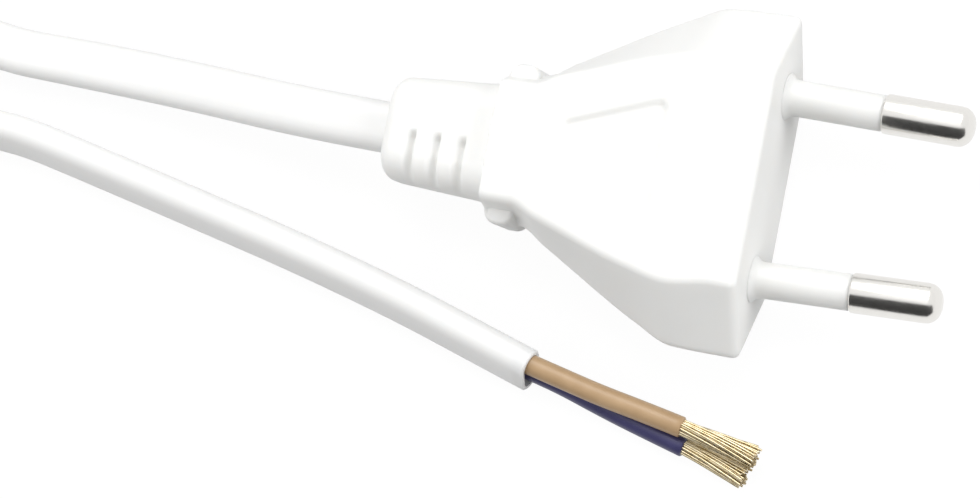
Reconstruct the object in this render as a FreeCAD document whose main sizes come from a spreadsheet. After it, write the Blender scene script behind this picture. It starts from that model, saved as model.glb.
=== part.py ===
import FreeCAD, Part
import math
import os

import Sketcher

# A flat two-pin mains plug, moulded on the end of a flat two-core lead whose other end is stripped.
# Millimetres. +X runs along the pins, Y runs across the plug, +Z is up.
# The plug lies on its broad face, and the origin is the middle of its footprint on that surface.
# Inside the plug, places are measured from the middle of the engagement face.

SIZES = [
    ("face_width", 35.9, "engagement face, from point to point"),
    ("face_thickness", 13.7, "engagement face, between the broad flats"),
    ("face_flat", 21.6, "broad flat at the engagement face"),
    ("head_place", 2.5, "station in the straight head, behind the face"),
    ("shoulder_place", 7.2, "station at the shoulder, behind the face"),
    ("shoulder_width", 35.5, "shoulder, from point to point"),
    ("shoulder_flat", 22.8, "broad flat at the shoulder"),
    ("shoulder_thickness", 13.66, "shoulder, between the broad flats"),
    ("flank_place", 11.3, "station at the start of the taper, behind the face"),
    ("flank_width", 31.9, "flank, from point to point"),
    ("flank_flat", 21.2, "broad flat at the flank"),
    ("flank_thickness", 13.3, "flank, between the broad flats"),
    ("hip_place", 15.0, "station in the first half of the taper, behind the face"),
    ("hip_width", 27.9, "hip, from point to point"),
    ("hip_flat", 19.2, "broad flat at the hip"),
    ("hip_thickness", 12.8, "hip, between the broad flats"),
    ("waist_place", 18.6, "station half way down the taper, behind the face"),
    ("waist_width", 23.7, "waist, from point to point"),
    ("waist_flat", 16.8, "broad flat at the waist"),
    ("waist_thickness", 12.2, "waist, between the broad flats"),
    ("wrist_place", 22.4, "station near the end of the taper, behind the face"),
    ("wrist_width", 19.3, "wrist, from point to point"),
    ("wrist_flat", 14.4, "broad flat at the wrist"),
    ("wrist_thickness", 11.6, "wrist, between the broad flats"),
    ("neck_place", 25.3, "end of the taper, behind the face"),
    ("neck_width", 16.1, "neck, from point to point"),
    ("neck_flat", 12.2, "broad flat at the neck"),
    ("neck_thickness", 11.0, "neck, between the broad flats"),
    ("edge_radius", 1.1, "rounding along the six long edges"),
    ("rim_radius", 0.8, "rounding round the engagement face"),
    ("lug_width", 16.8, "finger lugs at the neck, over both"),
    ("lug_length", 3.2, "finger lugs, along the plug"),
    ("lug_height", 6.6, "finger lugs, upwards"),
    ("lug_corner", 1.3, "finger lugs' plan corners"),
    ("lug_edge", 0.9, "rounding of the finger lugs' edges"),
    ("panel_depth", 0.35, "recess for the marking, left bare"),
    ("panel_start", 2.0, "from the flank station to the recess's wide end"),
    ("panel_length", 11.2, "recess, along the plug"),
    ("panel_wide", 13.2, "recess at its wide end"),
    ("panel_narrow", 6.4, "recess at its narrow end"),
    ("panel_corner", 1.4, "recess's corner radius"),
    ("relief_length", 12.6, "strain relief, behind the lugs"),
    ("relief_root_width", 12.3, "strain relief at the lugs"),
    ("relief_root_thickness", 9.4, "strain relief's thickness at the lugs"),
    ("relief_tip_width", 10.9, "strain relief where the cord leaves"),
    ("relief_tip_thickness", 8.0, "strain relief's thickness where the cord leaves"),
    ("relief_edge_radius", 3.2, "rounding along the strain relief"),
    ("relief_tip_radius", 1.6, "rounding round the strain relief's end"),
    ("slot_width", 0.6, "one slot in the strain relief"),
    ("slot_pitch", 2.85, "from slot to slot"),
    ("slot_count", 3, "slots on each side of the strain relief"),
    ("slot_first", 3.8, "from the cord's exit to the middle of the first slot"),
    ("slot_land", 0.3, "from the plug's middle to a slot's inner end"),
    ("slot_rise", 1.4, "from the middle plane to a slot's lower end"),
    ("slot_wall", 1.0, "wall left between a slot and the cord"),
    ("pin_length", 19.0, "pins, from the engagement face"),
    ("pin_diameter", 4.0, "bare metal of the pins"),
    ("pin_root_spacing", 18.6, "between the pins' axes at the face"),
    ("pin_tip_spacing", 17.5, "between the pins' axes at their tips"),
    ("pin_tip_radius", 1.3, "rounding of the pins' tips"),
    ("shank_diameter", 3.0, "pins inside their sleeves"),
    ("sleeve_length", 10.0, "sleeves, from the engagement face"),
    ("sleeve_diameter", 3.66, "outside of the sleeves"),
    ("sleeve_root_diameter", 4.8, "sleeves' flare at the face"),
    ("sleeve_root_length", 0.6, "length of that flare"),
    ("sleeve_root_land", 0.1, "flare's straight edge above the face"),
    ("sleeve_root_seat", 0.3, "flare's straight edge sunk in the face"),
    ("sleeve_depth", 4.2, "sleeves inside the plug"),
    ("seat_diameter", 5.6, "sleeves' flange and pins' collar in the bridge"),
    ("seat_thickness", 1.0, "that flange, and that collar"),
    ("barrel_diameter", 2.8, "pins' crimp barrels"),
    ("barrel_length", 7.0, "crimp barrels, behind the collar"),
    ("crimp_clearance", 0.2, "from the bridge's back to the bottom of the crimp bore"),
    ("bridge_inset", 2.0, "moulding in front of the bridge"),
    ("bridge_thickness", 5.0, "bridge, along the pins"),
    ("bridge_wall", 0.9, "bridge outside the sleeves' flanges, measured at the face"),
    ("bridge_height", 6.4, "bridge, between its broad sides"),
    ("bridge_corner", 1.0, "rounding of the bridge"),
    ("bridge_key", 4.0, "hole in the bridge that the moulding fills"),
    ("cord_width", 5.5, "flat cord, across both cores"),
    ("cord_thickness", 3.4, "flat cord, through one core"),
    ("cord_grip", 15.1, "sheath inside the plug"),
    ("core_diameter", 2.2, "one insulated core"),
    ("core_spacing", 2.25, "between the two cores in the sheath"),
    ("wire_diameter", 1.2, "bare strands of one core"),
    ("wire_gap", 0.8, "bare wire between the insulation and the barrel"),
    ("core_straight", 3.0, "core in line with its pin before the wire"),
    ("core_lead", 3.0, "core straight out of the sheath"),
    ("hank_length", 87.2, "hank, over both folds"),
    ("hank_width", 52.0, "hank, over both straight sides"),
    ("hank_bundle", 14.4, "hank's turns, side by side"),
    ("hank_height", 11.0, "hank's turns, one on the other"),
    ("hank_edge_radius", 1.5, "rounding of the hank's edges"),
    ("run_in_cover", 0.8, "turns outside the cord where it enters the hank"),
    ("tie_width", 2.6, "tie round the hank's turns"),
    ("tie_thickness", 0.6, "the tie's band"),
    ("tie_head", 4.0, "the tie's locking head, along and across the band"),
    ("tie_head_height", 2.8, "that head, upwards"),
    ("tie_head_seat", 0.06, "that head, into the band"),
    ("strand_flare", 2.3, "spread end of the blue core's strands"),
]

# Places that several pieces share, as expressions of the sheet.
BODY = "(Dim.neck_place + Dim.lug_length)"
LENGTH = f"({BODY} + Dim.relief_length)"
FACE_X = f"({LENGTH} - Dim.pin_length) / 2"
EXIT_X = f"-({LENGTH} + Dim.pin_length) / 2"
MIDDLE_Z = "Dim.face_thickness / 2"
TILT = "atan((Dim.pin_root_spacing - Dim.pin_tip_spacing) / 2 / Dim.pin_length)"
SEAT_BACK = "(Dim.sleeve_depth + Dim.seat_thickness)"
BARREL_END = f"({SEAT_BACK} + Dim.barrel_length)"
BRIDGE_BACK = "(Dim.bridge_inset + Dim.bridge_thickness)"
BORE_END = f"({BRIDGE_BACK} + Dim.crimp_clearance)"
CORE_END = f"({BARREL_END} + Dim.wire_gap)"

# The cord's route, chosen by hand, in millimetres from the middle of its exit.
# LEAD goes from the plug to the hank, and TAIL from the hank back beside the plug to the stripped end.
LEAD = [
    (0.0, 0.0, 0.0),
    (-10.0, 0.2, -0.3),
    (-25.0, 1.2, -2.4),
    (-40.0, 2.1, -3.8),
    (-53.0, 2.7, -4.0),
    (-64.5, 7.0, -3.8),
    (-75.0, 12.5, -3.5),
]
TAIL = [
    (-72.3, -11.4, 2.0),
    (-61.0, -7.5, -0.8),
    (-49.0, -6.4, -3.4),
    (-36.2, -8.9, -4.05),
    (-23.0, -11.65, -4.05),
    (-10.2, -14.5, -4.0),
    (2.3, -17.6, -3.95),
    (10.1, -19.85, -4.0),
    (18.5, -22.35, -4.0),
]
# The middle of the hank's near fold, and how far the cord runs on from its last hand-chosen point.
NEAR_FOLD = (-105.8, 0.0)
LEAD_RUN_IN = 7.0
TAIL_RUN_IN = 9.5
# The stripped cores, from the end of the sheath to the ends of their insulation.
BROWN_END = [
    (18.68, -21.75, -3.4),
    (22.0, -22.5, -3.62),
    (26.5, -23.5, -3.8),
    (30.9, -24.25, -4.0),
    (35.6, -25.15, -4.15),
]
BLUE_END = [
    (18.34, -22.9, -5.35),
    (21.5, -23.5, -5.7),
    (26.1, -24.7, -5.72),
    (30.7, -25.75, -5.72),
    (35.8, -27.05, -5.72),
]
BROWN_STRANDS_END = (43.7, -26.6, -4.4)
BLUE_STRANDS_END = (42.6, -29.2, -5.65)


def add_sheet(doc):
    """The sheet of driving dimensions: name, value and meaning in each row."""
    sheet = doc.addObject("Spreadsheet::Sheet", "Dim")
    for row, (alias, value, meaning) in enumerate(SIZES, 1):
        sheet.set(f"A{row}", alias)
        sheet.set(f"B{row}", str(value))
        sheet.set(f"C{row}", meaning)
        sheet.setAlias(f"B{row}", alias)
    doc.recompute()
    return sheet


def value(obj, expression):
    """The number that an expression of the sheet gives."""
    result = obj.evalExpression(expression)
    return float(getattr(result, "Value", result))


def bind(obj, **expressions):
    """Binds an object's own properties to expressions."""
    for name, expression in expressions.items():
        obj.setExpression(name, expression)


def place(obj, x="0", y="0", z="0"):
    """Puts an object at a point that the sheet gives."""
    for axis, expression in zip("xyz", (x, y, z)):
        obj.setExpression(f"Placement.Base.{axis}", expression)


def new_body(doc, name, on_face=True):
    """A body whose origin is the middle of the engagement face, unless it is placed by itself."""
    body = doc.addObject("PartDesign::Body", name)
    if on_face:
        place(body, FACE_X, "0", MIDDLE_Z)
    return body


def new_sketch(body, name, role, offset=None):
    """A sketch on one of the body's own origin planes, moved along its normal."""
    sketch = body.newObject("Sketcher::SketchObject", name)
    plane = next(f for f in body.Origin.OriginFeatures if f.Role == role)
    sketch.AttachmentSupport = [(plane, "")]
    sketch.MapMode = "FlatFace"
    if offset:
        sketch.setExpression("AttachmentOffset.Base.z", offset)
    return sketch


def fix_point(sketch, geometry, end, corner):
    """Ties one end of a line or arc to a corner given as two expressions."""
    for kind, expression, axis in zip(("DistanceX", "DistanceY"), corner, (-2, -1)):
        if expression == "0":
            sketch.addConstraint(Sketcher.Constraint("PointOnObject", geometry, end, axis))
            continue
        number = value(sketch, expression)
        index = sketch.addConstraint(Sketcher.Constraint(kind, -1, 1, geometry, end, number))
        sketch.setExpression(f"Constraints[{index}]", expression)


def corner_vector(sketch, corner):
    return FreeCAD.Vector(value(sketch, corner[0]), value(sketch, corner[1]), 0)


def polyline(sketch, corners, closed=True):
    """Straight edges from corner to corner, each corner tied to the sheet."""
    points = [corner_vector(sketch, corner) for corner in corners]
    count = len(points) if closed else len(points) - 1
    for i in range(count):
        sketch.addGeometry(Part.LineSegment(points[i], points[(i + 1) % len(points)]), False)
    for i in range(count if closed else count - 1):
        sketch.addConstraint(Sketcher.Constraint("Coincident", i, 2, (i + 1) % count, 1))
    for i in range(count):
        fix_point(sketch, i, 1, corners[i])
    if not closed:
        fix_point(sketch, count - 1, 2, corners[-1])


def circle(sketch, diameter, centre=("0", "0")):
    """A circle tied to the sheet by its diameter and its middle."""
    middle = corner_vector(sketch, centre)
    radius = value(sketch, diameter) / 2
    sketch.addGeometry(Part.Circle(middle, FreeCAD.Vector(0, 0, 1), radius), False)
    index = sketch.addConstraint(Sketcher.Constraint("Diameter", 0, 2 * radius))
    sketch.setExpression(f"Constraints[{index}]", diameter)
    fix_point(sketch, 0, 3, centre)


def hexagon(body, name, behind, width, flat, thickness):
    """A six-sided section across the plug: a broad flat above and below, and a point at each side."""
    sketch = new_sketch(body, name, "YZ_Plane", f"-({behind})")
    point, edge, top = f"{width} / 2", f"{flat} / 2", f"{thickness} / 2"
    corners = [(point, "0"), (edge, top), (f"-({edge})", top), (f"-({point})", "0")]
    corners += [(f"-({edge})", f"-({top})"), (edge, f"-({top})")]
    polyline(sketch, corners)
    return sketch


def rectangle(body, name, behind, width, thickness):
    """A four-sided section across the plug."""
    sketch = new_sketch(body, name, "YZ_Plane", f"-({behind})")
    side, top = f"{width} / 2", f"{thickness} / 2"
    polyline(sketch, [(side, top), (f"-({side})", top), (f"-({side})", f"-({top})"), (side, f"-({top})")])
    return sketch


def loft(body, name, sections, ruled=False):
    feature = body.newObject("PartDesign::AdditiveLoft", name)
    feature.Profile = sections[0]
    feature.Sections = sections[1:]
    feature.Ruled = ruled
    body.Document.recompute()
    return feature


def pad(body, name, sketch, length, reverse=False):
    feature = body.newObject("PartDesign::Pad", name)
    feature.Profile = sketch
    feature.Reversed = reverse
    bind(feature, Length=length)
    body.Document.recompute()
    return feature


def fillet(body, name, base, radius, chosen):
    """Rounds the edges of a feature that a test picks."""
    edges = [f"Edge{i}" for i, edge in enumerate(base.Shape.Edges, 1) if chosen(edge)]
    feature = body.newObject("PartDesign::Fillet", name)
    feature.Base = (base, edges)
    bind(feature, Radius=radius)
    body.Document.recompute()
    return feature


def runs_along(edge):
    """True for an edge that runs along the plug."""
    box = edge.BoundBox
    return box.XLength > 1.2 * max(box.YLength, box.ZLength)


def plug_shell(doc):
    """The plug's head and taper: one smooth form through a row of stations."""
    body = new_body(doc, "plug_shell")
    face = ("Dim.face_width", "Dim.face_flat", "Dim.face_thickness")
    sections = [
        hexagon(body, "face_section", "0", *face),
        hexagon(body, "head_section", "Dim.head_place", *face),
    ]
    for station in ("shoulder", "flank", "hip", "waist", "wrist", "neck"):
        sizes = [f"Dim.{station}_{part}" for part in ("width", "flat", "thickness")]
        sections.append(hexagon(body, f"{station}_section", f"Dim.{station}_place", *sizes))
    neck = ("Dim.neck_width", "Dim.neck_flat", "Dim.neck_thickness")
    sections.append(hexagon(body, "end_section", BODY, *neck))
    form = loft(body, "plug_form", sections)
    rounded = fillet(body, "long_edges", form, "Dim.edge_radius", runs_along)
    fillet(body, "face_rim", rounded, "Dim.rim_radius", lambda edge: edge.BoundBox.XMin > -0.01)
    return body


def finger_lugs(doc):
    """The finger lug at each side of the neck, as one rounded bar through it."""
    body = new_body(doc, "finger_lugs")
    sketch = new_sketch(body, "lug_outline", "XY_Plane", "-Dim.lug_height / 2")
    side, front, back = "Dim.lug_width / 2", "-Dim.neck_place", f"-{BODY}"
    polyline(sketch, [(front, side), (back, side), (back, f"-{side}"), (front, f"-{side}")])
    bar = pad(body, "lug_bar", sketch, "Dim.lug_height")
    upright = fillet(body, "lug_corners", bar, "Dim.lug_corner", lambda edge: edge.BoundBox.ZLength > 1)
    fillet(body, "lug_edges", upright, "Dim.lug_edge", lambda edge: edge.BoundBox.ZLength < 0.01)
    return body


def slot_sketch(body, name, side):
    """The corner that a slot takes out of the strain relief, seen along the cord; side is 1 or -1."""
    behind = f"{LENGTH} - Dim.slot_first + Dim.slot_width / 2"
    sketch = new_sketch(body, name, "YZ_Plane", f"-({behind})")
    sign = "" if side > 0 else "-"
    land = f"{sign}Dim.slot_land"
    flank = f"{sign}(Dim.cord_width / 2 + Dim.slot_wall)"
    outside = f"{sign}Dim.relief_root_width"
    floor = f"{sign}(-1) * (Dim.cord_thickness / 2 + Dim.slot_wall)"
    low = f"{sign}(-1) * Dim.slot_rise"
    beyond = f"{sign}(-1) * Dim.relief_root_thickness"
    corners = [(land, floor), (land, beyond), (outside, beyond), (outside, low), (flank, low), (flank, floor)]
    polyline(sketch, corners)
    return sketch


def strain_relief(doc):
    """The tapered strain relief, with slots above on one side and below on the other."""
    body = new_body(doc, "strain_relief")
    sections = [
        rectangle(body, "relief_root", BODY, "Dim.relief_root_width", "Dim.relief_root_thickness"),
        rectangle(body, "relief_tip", LENGTH, "Dim.relief_tip_width", "Dim.relief_tip_thickness"),
    ]
    form = loft(body, "relief_form", sections, ruled=True)
    rounded = fillet(body, "relief_edges", form, "Dim.relief_edge_radius", runs_along)
    end = -value(body, LENGTH) + 0.01
    tip = fillet(body, "relief_rim", rounded, "Dim.relief_tip_radius", lambda edge: edge.BoundBox.XMax < end)
    whole = tip.Shape.Volume
    pockets = []
    for name, side in (("upper_slot", -1), ("lower_slot", 1)):
        pocket = body.newObject("PartDesign::Pocket", name)
        pocket.Profile = slot_sketch(body, f"{name}_sketch", side)
        pocket.Reversed = True
        bind(pocket, Length="Dim.slot_width")
        doc.recompute()
        pockets.append(pocket)
    pattern = body.newObject("PartDesign::LinearPattern", "slot_row")
    pattern.Originals = pockets
    axis = next(f for f in body.Origin.OriginFeatures if f.Role == "X_Axis")
    pattern.Direction = (axis, [""])
    bind(pattern, Occurrences="Dim.slot_count", Length="Dim.slot_pitch * (Dim.slot_count - 1)")
    body.Tip = pattern
    doc.recompute()
    print("slots take", round(whole - body.Shape.Volume, 3), "mm3")
    return body


def marking_recess(doc):
    """The tool that sinks the bare marking panel into the upper flat, parallel to that flat."""
    body = new_body(doc, "marking_recess", on_face=False)
    rise = "(Dim.flank_thickness - Dim.waist_thickness) / 2"
    run = "(Dim.waist_place - Dim.flank_place)"
    body.Placement = FreeCAD.Placement(FreeCAD.Vector(), FreeCAD.Rotation(FreeCAD.Vector(0, -1, 0), 1))
    body.setExpression("Placement.Rotation.Angle", f"atan({rise} / {run})")
    height = f"{MIDDLE_Z} + Dim.flank_thickness / 2 - Dim.panel_depth"
    place(body, f"{FACE_X} - Dim.flank_place", "0", height)
    sketch = new_sketch(body, "recess_outline", "XY_Plane")
    near, far = "Dim.panel_start", "(Dim.panel_start - Dim.panel_length)"
    wide, narrow = "Dim.panel_wide / 2", "Dim.panel_narrow / 2"
    polyline(sketch, [(near, wide), (far, narrow), (far, f"-({narrow})"), (near, f"-({wide})")])
    block = pad(body, "recess_block", sketch, "Dim.panel_depth * 6")
    fillet(body, "recess_corners", block, "Dim.panel_corner", lambda edge: edge.BoundBox.ZLength > 0.5)
    return body


def on_pin_axis(body, side):
    """Places a body so that its X axis is a pin's axis, which leans inwards; side is 1 or -1."""
    body.Placement = FreeCAD.Placement(FreeCAD.Vector(), FreeCAD.Rotation(FreeCAD.Vector(0, 0, -side), 1))
    body.setExpression("Placement.Rotation.Angle", TILT)
    place(body, FACE_X, f"{side} * Dim.pin_root_spacing / 2", MIDDLE_Z)


def turned(body, name, corners):
    """Turns a profile, given as places along X and radii, about the body's X axis."""
    sketch = new_sketch(body, f"{name}_profile", "XY_Plane")
    polyline(sketch, corners)
    feature = body.newObject("PartDesign::Revolution", name)
    feature.Profile = sketch
    feature.ReferenceAxis = (sketch, ["H_Axis"])
    body.Document.recompute()
    return feature


def contact_pin(doc, name, side):
    """A turned brass pin: bare end, shank, collar and crimp barrel in one piece."""
    body = new_body(doc, name, on_face=False)
    on_pin_axis(body, side)
    bare, shank = "Dim.pin_diameter / 2", "Dim.shank_diameter / 2"
    collar, barrel, bore = "Dim.seat_diameter / 2", "Dim.barrel_diameter / 2", "Dim.wire_diameter / 2"
    bore_end = f"-{BORE_END}"
    corners = [
        ("Dim.pin_length", "0"),
        ("Dim.pin_length", bare),
        ("Dim.sleeve_length", bare),
        ("Dim.sleeve_length", shank),
        ("-Dim.sleeve_depth", shank),
        ("-Dim.sleeve_depth", collar),
        (f"-{SEAT_BACK}", collar),
        (f"-{SEAT_BACK}", barrel),
        (f"-{BARREL_END}", barrel),
        (f"-{BARREL_END}", bore),
        (bore_end, bore),
        (bore_end, "0"),
    ]
    form = turned(body, f"{name}_turned", corners)
    at_tip = value(body, "Dim.pin_length") - 0.01
    fillet(body, f"{name}_tip", form, "Dim.pin_tip_radius", lambda edge: edge.BoundBox.XMin > at_tip)
    return body


def pin_sleeve(doc, name, side):
    """The insulating sleeve: a tube on the shank, with a flare in the face and a flange in the bridge."""
    body = new_body(doc, name, on_face=False)
    on_pin_axis(body, side)
    inside, outside = "Dim.shank_diameter / 2", "Dim.sleeve_diameter / 2"
    flange, flare = "Dim.seat_diameter / 2", "Dim.sleeve_root_diameter / 2"
    flange_front = "-(Dim.sleeve_depth - Dim.seat_thickness)"
    corners = [
        ("Dim.sleeve_length", inside),
        ("Dim.sleeve_length", outside),
        ("Dim.sleeve_root_length", outside),
        ("Dim.sleeve_root_land", flare),
        ("-Dim.sleeve_root_seat", flare),
        ("-Dim.sleeve_root_seat", outside),
        (flange_front, outside),
        (flange_front, flange),
        ("-Dim.sleeve_depth", flange),
        ("-Dim.sleeve_depth", inside),
    ]
    turned(body, f"{name}_turned", corners)
    return body


def crimped_wire(doc, name, side):
    """The bare strands between a core's insulation and the bottom of its pin's crimp barrel."""
    body = new_body(doc, name, on_face=False)
    on_pin_axis(body, side)
    sketch = new_sketch(body, f"{name}_section", "YZ_Plane", f"-{CORE_END}")
    circle(sketch, "Dim.wire_diameter")
    pad(body, f"{name}_length", sketch, f"{CORE_END} - {BORE_END}")
    return body


def sheath_end(doc, name):
    """The flat cord's sheath inside the strain relief."""
    body = new_body(doc, name)
    outline = rectangle(body, "sheath_outline", LENGTH, "Dim.cord_width", "Dim.cord_thickness")
    form = pad(body, "sheath_block", outline, "Dim.cord_grip")
    fillet(body, "sheath_edges", form, "Dim.cord_thickness * 0.499", runs_along)
    return body


def bridge_form(doc):
    """The bar between the pins, before it is moulded round them."""
    body = new_body(doc, "bridge_form")
    width = "(Dim.pin_root_spacing + Dim.seat_diameter + 2 * Dim.bridge_wall)"
    outline = rectangle(body, "bridge_outline", BRIDGE_BACK, width, "Dim.bridge_height")
    form = pad(body, "bridge_bar", outline, "Dim.bridge_thickness")
    rounded = fillet(body, "bridge_corners", form, "Dim.bridge_corner", runs_along)
    key = body.newObject("PartDesign::Pocket", "bridge_key_hole")
    key_sketch = new_sketch(body, "bridge_key_sketch", "YZ_Plane", "-Dim.bridge_inset")
    circle(key_sketch, "Dim.bridge_key")
    key.Profile = key_sketch
    bind(key, Length="Dim.bridge_thickness")
    doc.recompute()
    print("bridge key takes", round(rounded.Shape.Volume - body.Shape.Volume, 3), "mm3")
    return body


def fused(doc, name, pieces):
    feature = doc.addObject("Part::MultiFuse", name)
    feature.Shapes = pieces
    return feature


def cut(doc, name, base, tool):
    feature = doc.addObject("Part::Cut", name)
    feature.Base = base
    feature.Tool = tool
    return feature


def route(sheet, offsets):
    """The cord's points in the part's frame."""
    start = FreeCAD.Vector(value(sheet, EXIT_X), 0, value(sheet, MIDDLE_Z))
    return [start + FreeCAD.Vector(*offset) for offset in offsets]


def rounded_wire(points, name):
    """Straight runs joined by arcs that touch them, each arc as large as its two runs allow."""
    share = 0.45
    edges, radii, start = [], [], points[0]
    for before, here, after in zip(points, points[1:], points[2:]):
        back, ahead = (before - here).normalize(), (after - here).normalize()
        shorter = min((before - here).Length, (after - here).Length)
        reach = share * shorter
        half_turn = (math.pi - back.getAngle(ahead)) / 2
        radii.append(reach / math.tan(half_turn))
        first, last = here + back * reach, here + ahead * reach
        middle_way = (back + ahead).normalize()
        middle = here + middle_way * (radii[-1] / math.cos(half_turn) - radii[-1])
        edges.append(Part.LineSegment(start, first).toShape())
        edges.append(Part.Arc(first, middle, last).toShape())
        start = last
    edges.append(Part.LineSegment(start, points[-1]).toShape())
    print(name, "arc radii", [round(radius, 1) for radius in radii])
    return Part.Wire(edges)


def tube(doc, name, points, diameter):
    """A round tube along a rounded route."""
    wire = rounded_wire(points, name)
    ahead = points[1] - points[0]
    section = Part.Wire([Part.Circle(points[0], ahead, diameter / 2).toShape()])
    feature = doc.addObject("Part::Feature", name)
    feature.Shape = wire.makePipeShell([section], True, False)
    share = feature.Shape.Volume / (math.pi * diameter**2 / 4 * wire.Length)
    print(name, "length", round(wire.Length, 1), "volume over section x length", round(share, 4))
    return feature


def inner_core(doc, sheet, name, side):
    """An insulated core inside the plug, from the end of the sheath to its pin's wire."""
    face = FreeCAD.Vector(value(sheet, FACE_X), 0, value(sheet, MIDDLE_Z))
    tilt = math.radians(value(sheet, TILT))
    sheath = value(sheet, f"{LENGTH} - Dim.cord_grip")
    start_y = side * value(sheet, "Dim.core_spacing") / 2
    places = [(-sheath, start_y), (-sheath + value(sheet, "Dim.core_lead"), start_y)]
    for behind in (value(sheet, f"{CORE_END} + Dim.core_straight"), value(sheet, CORE_END)):
        across = value(sheet, "Dim.pin_root_spacing") / 2 + behind * math.sin(tilt)
        places.append((-behind * math.cos(tilt), side * across))
    points = [face + FreeCAD.Vector(x, y, 0) for x, y in places]
    return tube(doc, name, points, value(sheet, "Dim.core_diameter"))


def tangent_point(corner, centre, radius, side):
    """Where a straight run from a corner touches a circle, above (side 1) or below (side -1) the centre."""
    away = corner - centre
    angle = math.atan2(away.y, away.x) + side * math.acos(radius / math.hypot(away.x, away.y))
    return FreeCAD.Vector(centre.x + radius * math.cos(angle), centre.y + radius * math.sin(angle), corner.z)


def stadium(sketch, length, width):
    """Two straight sides joined by half circles round the sketch's origin, tied to the sheet."""
    radius = value(sketch, f"{width} / 2")
    reach = value(sketch, f"({length} - {width}) / 2")
    top = sketch.GeometryCount
    left, bottom, right = top + 1, top + 2, top + 3
    quarter = math.pi / 2
    for side in (1, -1):
        start = FreeCAD.Vector(side * reach, side * radius, 0)
        end = FreeCAD.Vector(-side * reach, side * radius, 0)
        sketch.addGeometry(Part.LineSegment(start, end), False)
        fold = Part.Circle(FreeCAD.Vector(-side * reach, 0, 0), FreeCAD.Vector(0, 0, 1), radius)
        sketch.addGeometry(Part.ArcOfCircle(fold, side * quarter, (side + 2) * quarter), False)
    for before, after in ((top, left), (left, bottom), (bottom, right), (right, top)):
        sketch.addConstraint(Sketcher.Constraint("Tangent", before, 2, after, 1))
    fix_point(sketch, right, 3, (f"({length} - {width}) / 2", "0"))
    fix_point(sketch, left, 3, (f"-({length} - {width}) / 2", "0"))
    index = sketch.addConstraint(Sketcher.Constraint("Radius", right, radius))
    sketch.setExpression(f"Constraints[{index}]", f"{width} / 2")
    sketch.addConstraint(Sketcher.Constraint("Equal", left, right))


def hank_solid(doc, name, near_fold, run_ins):
    """The hank's outer shape, with a straight run-in where each end of the cord leaves it."""
    body = new_body(doc, "hank_ring", on_face=False)
    place(body, f"{near_fold.x} - (Dim.hank_length - Dim.hank_width) / 2", str(near_fold.y), "0")
    sketch = new_sketch(body, "hank_outline", "XY_Plane", "Dim.tie_thickness")
    stadium(sketch, "Dim.hank_length", "Dim.hank_width")
    stadium(sketch, "(Dim.hank_length - 2 * Dim.hank_bundle)", "(Dim.hank_width - 2 * Dim.hank_bundle)")
    ring = pad(body, "hank_turns", sketch, "Dim.hank_height")
    fillet(body, "hank_edges", ring, "Dim.hank_edge_radius", lambda edge: edge.BoundBox.ZLength < 0.01)
    pieces = [body]
    for label, (start, end) in run_ins.items():
        rod = doc.addObject("Part::Cylinder", label)
        bind(rod, Radius="Dim.cord_width / 2")
        rod.Height = (end - start).Length
        rod.Placement = FreeCAD.Placement(start, FreeCAD.Rotation(FreeCAD.Vector(0, 0, 1), end - start))
        pieces.append(rod)
    return body, fused(doc, name, pieces)


def hank_tie(doc, name, hank_ring, near_fold):
    """A cable tie round the bundle of turns, at the middle of the hank's far fold."""
    far_end = f"({near_fold.x} - Dim.hank_length + Dim.hank_width / 2)"
    block = doc.addObject("Part::Box", "tie_block")
    bind(block, Length="Dim.hank_bundle + 2 * Dim.tie_thickness", Width="Dim.tie_width")
    bind(block, Height="Dim.hank_height + 2 * Dim.tie_thickness")
    place(block, f"{far_end} - Dim.tie_thickness", f"{near_fold.y} - Dim.tie_width / 2", "0")
    head = doc.addObject("Part::Box", "tie_locking_head")
    bind(head, Length="Dim.tie_head", Width="Dim.tie_head", Height="Dim.tie_head_height")
    middle = f"{far_end} + (Dim.hank_bundle - Dim.tie_head) / 2"
    upper = "Dim.hank_height + 2 * Dim.tie_thickness - Dim.tie_head_seat"
    place(head, middle, f"{near_fold.y} - Dim.tie_head / 2", upper)
    band = fused(doc, "tie_band", [block, head])
    return cut(doc, name, band, hank_ring)


def strands(doc, name, start, end, first, last):
    """One core's bare strands as a plain tapered solid."""
    feature = doc.addObject("Part::Cone", name)
    bind(feature, Radius1=first, Radius2=last)
    feature.Height = (end - start).Length
    feature.Placement = FreeCAD.Placement(start, FreeCAD.Rotation(FreeCAD.Vector(0, 0, 1), end - start))
    return feature


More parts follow.
